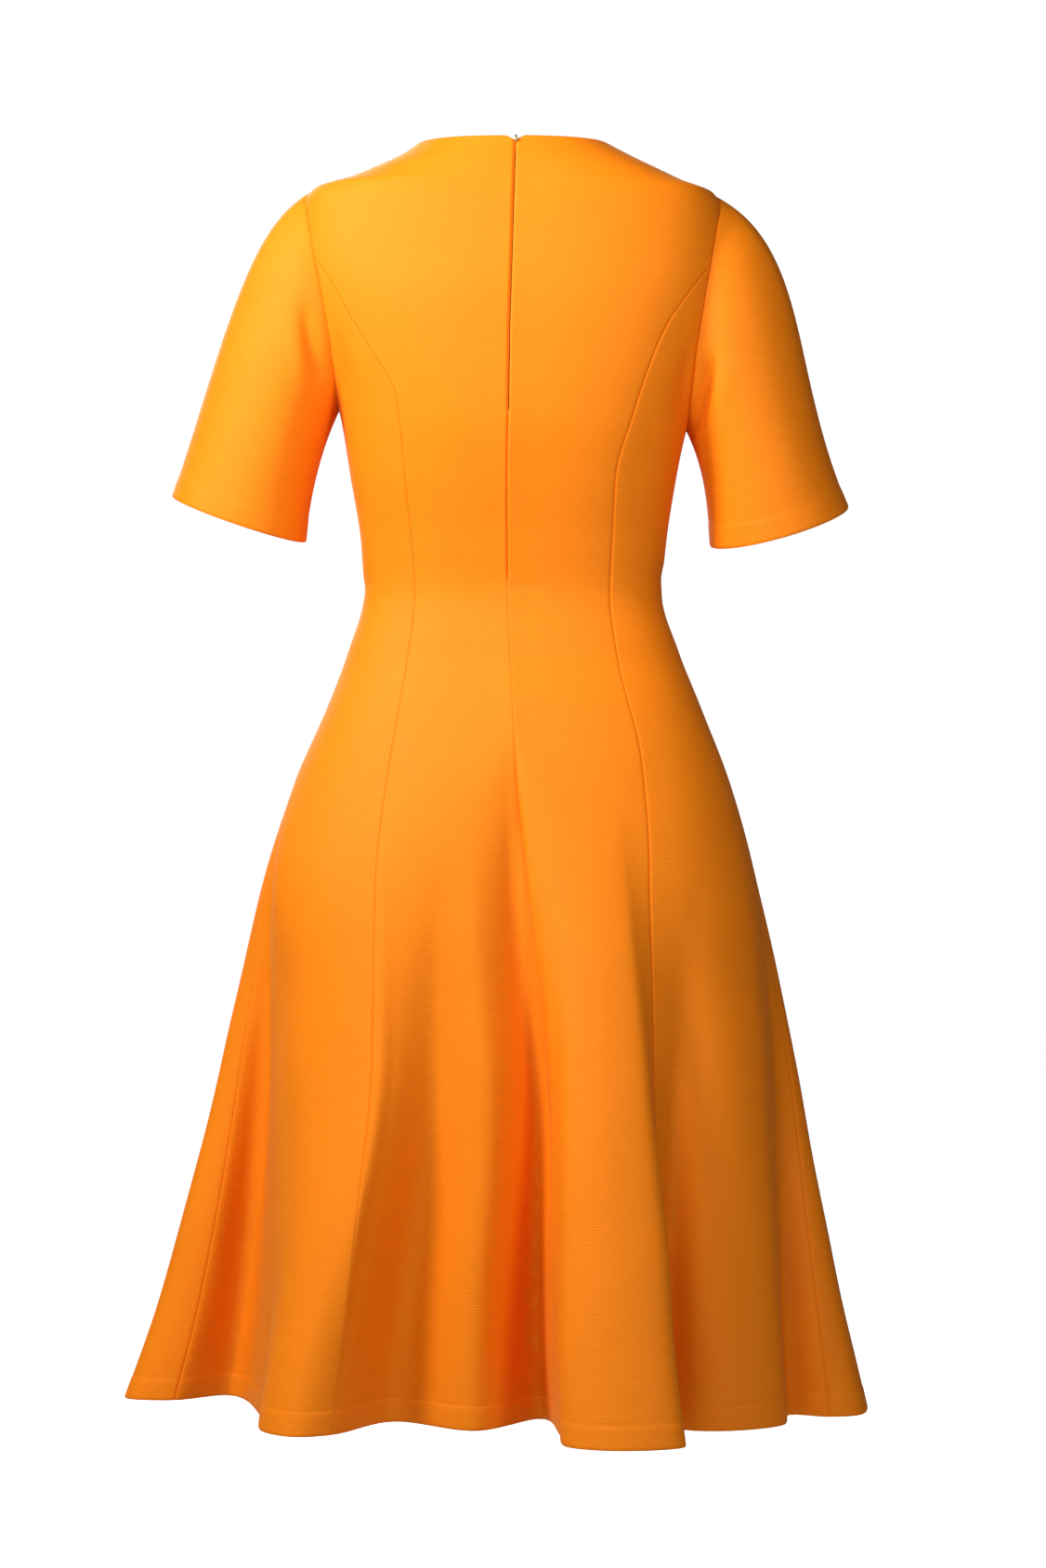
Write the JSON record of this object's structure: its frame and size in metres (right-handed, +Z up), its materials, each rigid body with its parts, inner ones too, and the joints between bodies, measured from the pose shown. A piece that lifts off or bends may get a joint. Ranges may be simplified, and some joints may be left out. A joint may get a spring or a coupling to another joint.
{
  "type": "a-line dress",
  "caption": "Princess-line midi dress in double knit with a round neck, flared elbow sleeves and a concealed back zip, hollow and open as when worn.",
  "frame": {"origin": "midway between the shoulder seams at the side of the neck, where the dress hangs from the wearer's shoulders", "axes": "+Z up, -Y out of the dress's front, +Y out of its back, +X to the wearer's left"},
  "size_m": [0.6332, 0.5227, 1.0772],
  "materials": {
    "ponte_knit": "matt double knit with a faint crosswise rib and a soft sheen at grazing angles",
    "zip_tape": "matt woven polyester tape",
    "zip_metal": "pale gold plated, semi-gloss"
  },
  "bodies": {
    "dress": {"center_back_left": "ponte_knit", "side_back_left": "ponte_knit", "side_front_left": "ponte_knit", "center_front": "ponte_knit", "side_front_right": "ponte_knit", "side_back_right": "ponte_knit", "center_back_right": "ponte_knit", "sleeve_left": "ponte_knit", "sleeve_right": "ponte_knit", "zip_tape_left": "zip_tape", "zip_tape_right": "zip_tape", "zip_slider": "zip_metal"},
    "pull_tab": {"pull_tab": "zip_metal"}
  },
  "joints": [
    {"name": "pull_tab_swing", "type": "hinge", "parent": "dress", "child": "pull_tab", "pos_m": [-0.003, 0.08117, -0.00628], "axis": [-1, 0, 0], "range_deg": [0, 229]}
  ]
}
